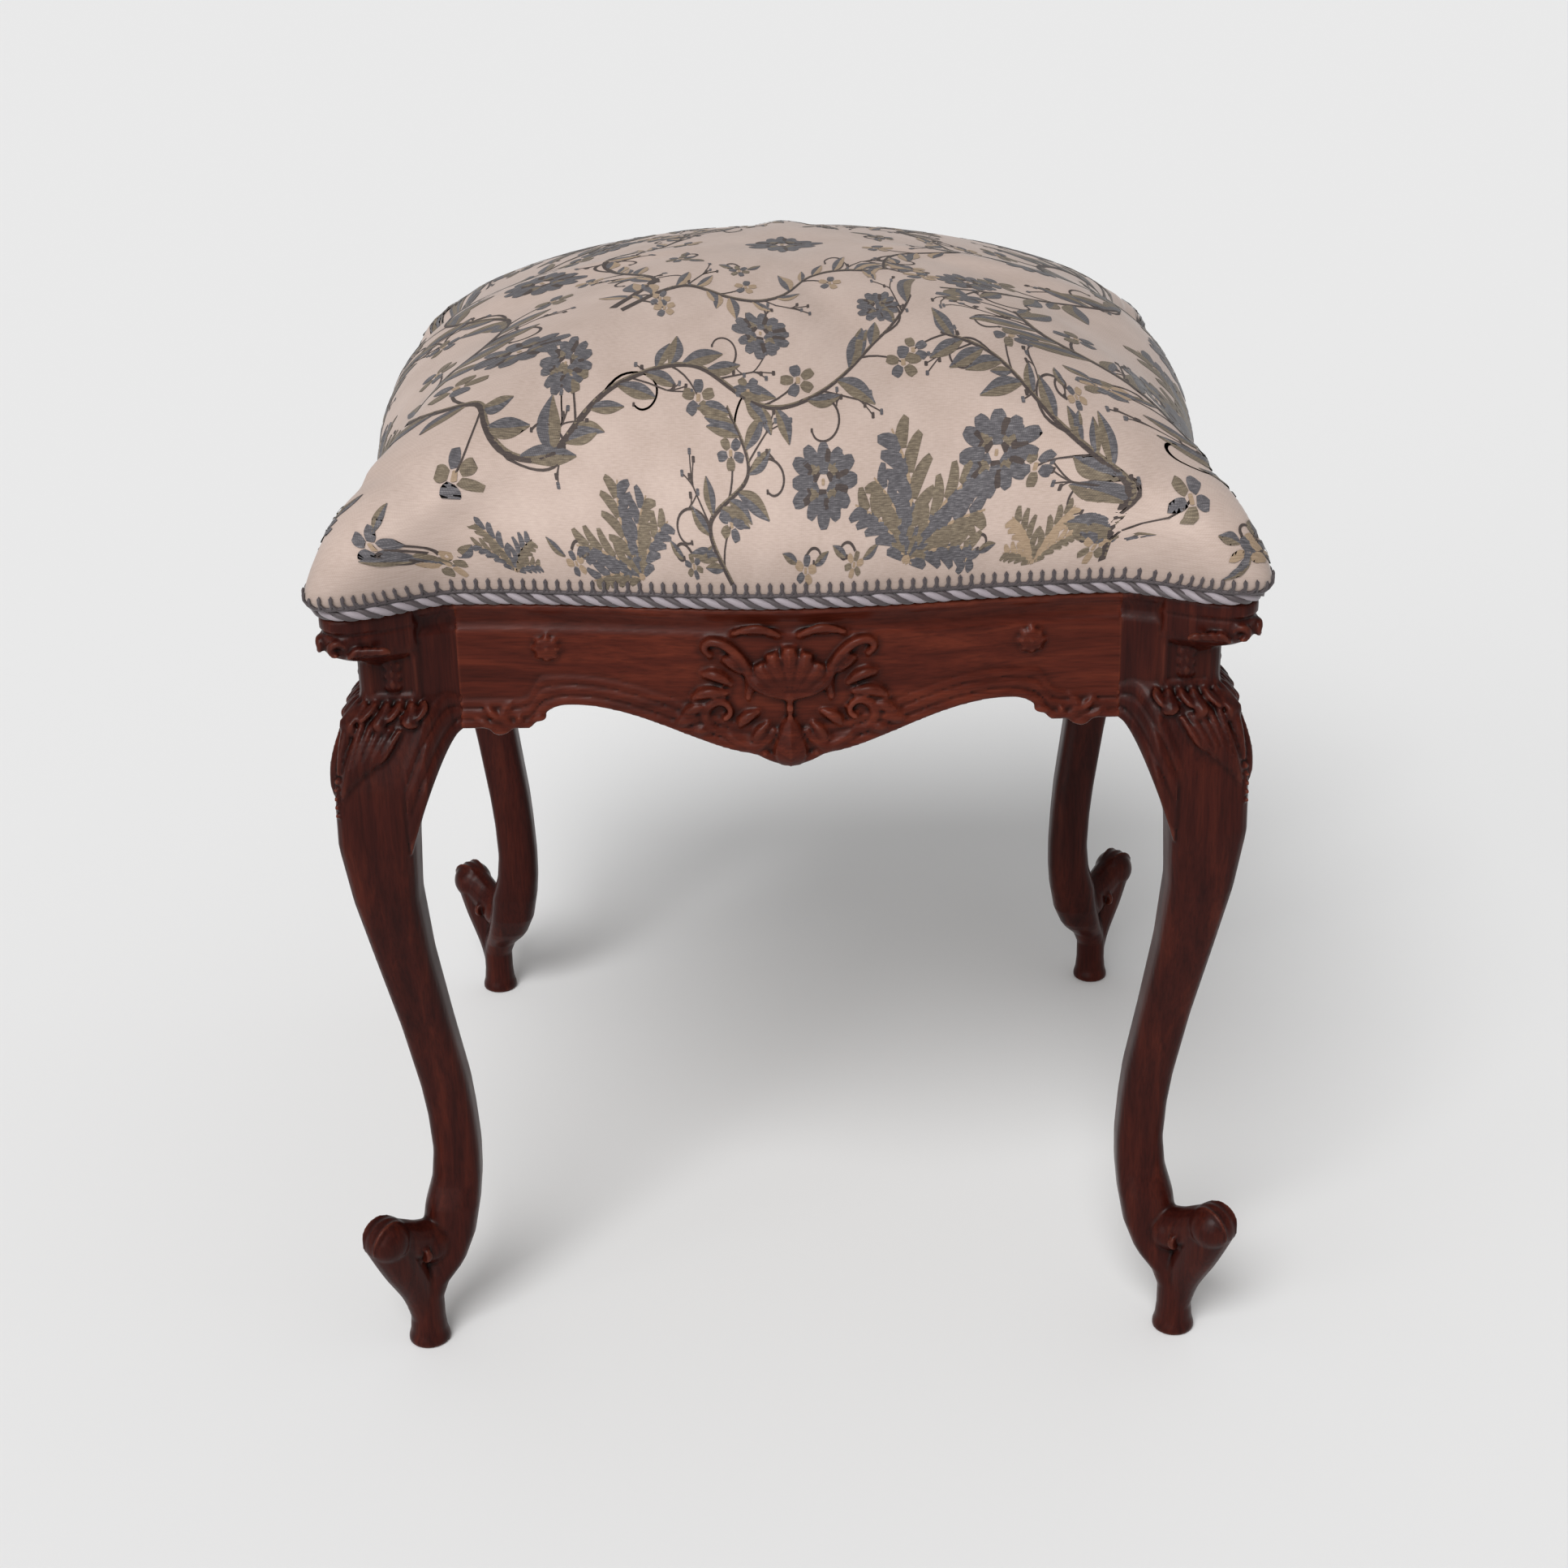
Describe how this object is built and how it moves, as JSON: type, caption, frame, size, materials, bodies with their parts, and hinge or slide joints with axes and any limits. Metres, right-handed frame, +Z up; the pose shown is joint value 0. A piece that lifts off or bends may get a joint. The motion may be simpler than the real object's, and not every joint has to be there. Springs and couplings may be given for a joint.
{
  "type": "upholstered stool",
  "caption": "Square upholstered pouf: domed overstuffed seat with twisted cord trim on carved cabriole legs and serpentine rails",
  "frame": {"origin": "on the floor, at the centre between the four feet", "axes": "+Z up through the crown of the seat, -Y is the side that faces the viewer, +X to the right; all four sides are alike"},
  "size_m": [0.435, 0.435, 0.5152],
  "materials": {
    "carved_frame": "dark stained mahogany, polished satin varnish",
    "inner_wood": "plain planed beech",
    "screw_steel": "plain wood screws",
    "blued_tacks": "blued cut tacks",
    "jute_webbing": "woven jute",
    "hessian": "open plain weave",
    "hair_stuffing": "curled hair",
    "cotton": "felted cotton wadding",
    "calico": "unbleached plain weave",
    "tapestry": "woven floral figure in slate, olive and ochre on a pink beige ground",
    "trim_cord": "twisted rayon cord, soft sheen",
    "trim_heading": "dark looped heading"
  },
  "bodies": {
    "root": {"leg_back_right": "carved_frame", "leg_back_left": "carved_frame", "leg_front_left": "carved_frame", "leg_front_right": "carved_frame", "rail_front": "carved_frame", "rail_right": "carved_frame", "rail_back": "carved_frame", "rail_left": "carved_frame", "corner_block_back_right": "inner_wood", "corner_block_back_left": "inner_wood", "corner_block_front_left": "inner_wood", "corner_block_front_right": "inner_wood", "tenon_pegs": "inner_wood", "corner_block_screws": "screw_steel", "webbing_tacks": "blued_tacks", "cover_tacks": "blued_tacks", "webbing_across_1": "jute_webbing", "webbing_across_2": "jute_webbing", "webbing_across_3": "jute_webbing", "webbing_across_4": "jute_webbing", "webbing_along_1": "jute_webbing", "webbing_along_2": "jute_webbing", "webbing_along_3": "jute_webbing", "webbing_along_4": "jute_webbing", "base_hessian": "hessian", "first_stuffing": "hair_stuffing", "scrim": "hessian", "top_stuffing": "hair_stuffing", "cotton_wadding": "cotton", "calico_lining": "calico", "tapestry_cover": "tapestry", "twisted_cord_trim": "trim_cord", "looped_heading": "trim_heading"}
  },
  "joints": []
}
